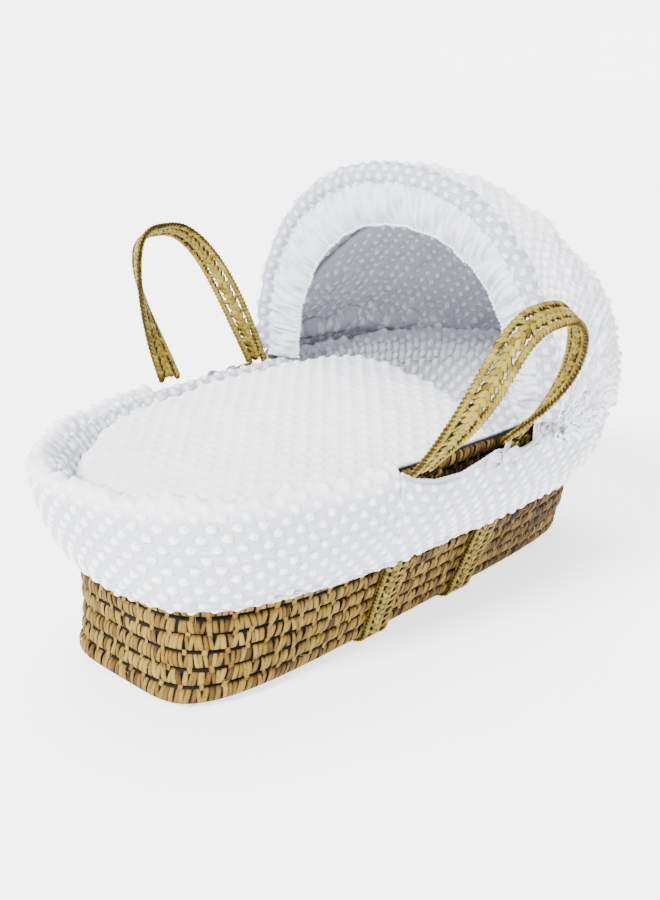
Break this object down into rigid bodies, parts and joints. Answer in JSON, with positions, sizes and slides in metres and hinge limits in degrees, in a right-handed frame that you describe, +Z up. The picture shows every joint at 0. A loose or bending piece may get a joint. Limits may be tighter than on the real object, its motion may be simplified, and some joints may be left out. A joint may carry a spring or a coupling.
{
  "type": "moses basket",
  "caption": "Coiled palm moses basket with two plaited carry handles, padded dimple cover, mattress, coverlet and a folding hooped hood.",
  "frame": {"origin": "centre of the object's footprint on the surface it stands on", "axes": "+X along the basket towards the hood end, +Y across, +Z up"},
  "size_m": [0.8802, 0.724, 0.55],
  "materials": {
    "palm_wall": "matte woven palm leaf",
    "palm_braid": "matte plaited palm leaf",
    "dimple_fabric": "soft raised-dot plush",
    "coverlet_fabric": "soft raised-dot plush, padded",
    "liner_fabric": "soft raised-dot plush, padded",
    "mattress_cover": "plain woven cotton",
    "frill_cotton": "plain gathered cotton",
    "cotton_binding": "plain cotton tape",
    "hoop_plastic": "smooth white strip",
    "pin_steel": "plain pin"
  },
  "bodies": {
    "basket": {"base_mat": "palm_wall", "coil_row_01": "palm_wall", "coil_row_02": "palm_wall", "coil_row_03": "palm_wall", "coil_row_04": "palm_wall", "coil_row_05": "palm_wall", "coil_row_06": "palm_wall", "coil_row_07": "palm_wall", "coil_row_08": "palm_wall", "coil_row_09": "palm_wall", "coil_row_10": "palm_wall", "coil_row_11": "palm_wall", "rim_braid": "palm_wall", "strap_foot": "palm_braid", "strap_head": "palm_braid", "liner_wall": "liner_fabric", "rim_roll_foot": "dimple_fabric", "rim_roll_head": "dimple_fabric", "skirt_foot": "dimple_fabric", "skirt_head": "dimple_fabric", "skirt_side_left": "dimple_fabric", "skirt_side_right": "dimple_fabric", "hem_elastic": "cotton_binding", "mattress": "mattress_cover", "hood_back": "dimple_fabric", "hood_back_elastic": "cotton_binding", "hood_hinge_tabs": "hoop_plastic", "hood_hinge_pins": "pin_steel", "slot_binding_left": "cotton_binding", "slot_binding_right": "cotton_binding", "tie_bow_left": "cotton_binding", "tie_bow_right": "cotton_binding"},
    "hood_mid": {"hood_hoop_mid": "hoop_plastic", "hood_panel_mid": "dimple_fabric"},
    "hood_front": {"hood_hoop_front": "hoop_plastic", "hood_panel_front": "dimple_fabric", "hood_front_band": "dimple_fabric", "hood_frill": "frill_cotton", "frill_elastic": "cotton_binding"},
    "coverlet": {"coverlet": "coverlet_fabric"},
    "handle_left": {"handle_left": "palm_braid"},
    "handle_right": {"handle_right": "palm_braid"}
  },
  "joints": [
    {"name": "hood_mid_hinge", "type": "hinge", "parent": "basket", "child": "hood_mid", "pos_m": [0.08586, -0.00462, 0.256], "axis": [0, 1, 0], "range_deg": [0, 46]},
    {"name": "hood_front_hinge", "type": "hinge", "parent": "hood_mid", "child": "hood_front", "pos_m": [0.08586, -0.00462, 0.256], "axis": [0, 1, 0], "range_deg": [0, 25]},
    {"name": "coverlet_lift", "type": "slide", "parent": "basket", "child": "coverlet", "axis": [0, 0, 1], "range_m": [0, 0.09]},
    {"name": "handle_left_hinge", "type": "hinge", "parent": "basket", "child": "handle_left", "pos_m": [-0.02814, 0.22658, 0.25], "axis": [-1, 0, 0], "range_deg": [-44, 60]},
    {"name": "handle_right_hinge", "type": "hinge", "parent": "basket", "child": "handle_right", "pos_m": [-0.05314, -0.23582, 0.25], "axis": [1, 0, 0], "range_deg": [-44, 60]}
  ],
  "couplings": [
    {"joint": "hood_front_hinge", "follows": "hood_mid_hinge", "ratio": 0.54348}
  ]
}
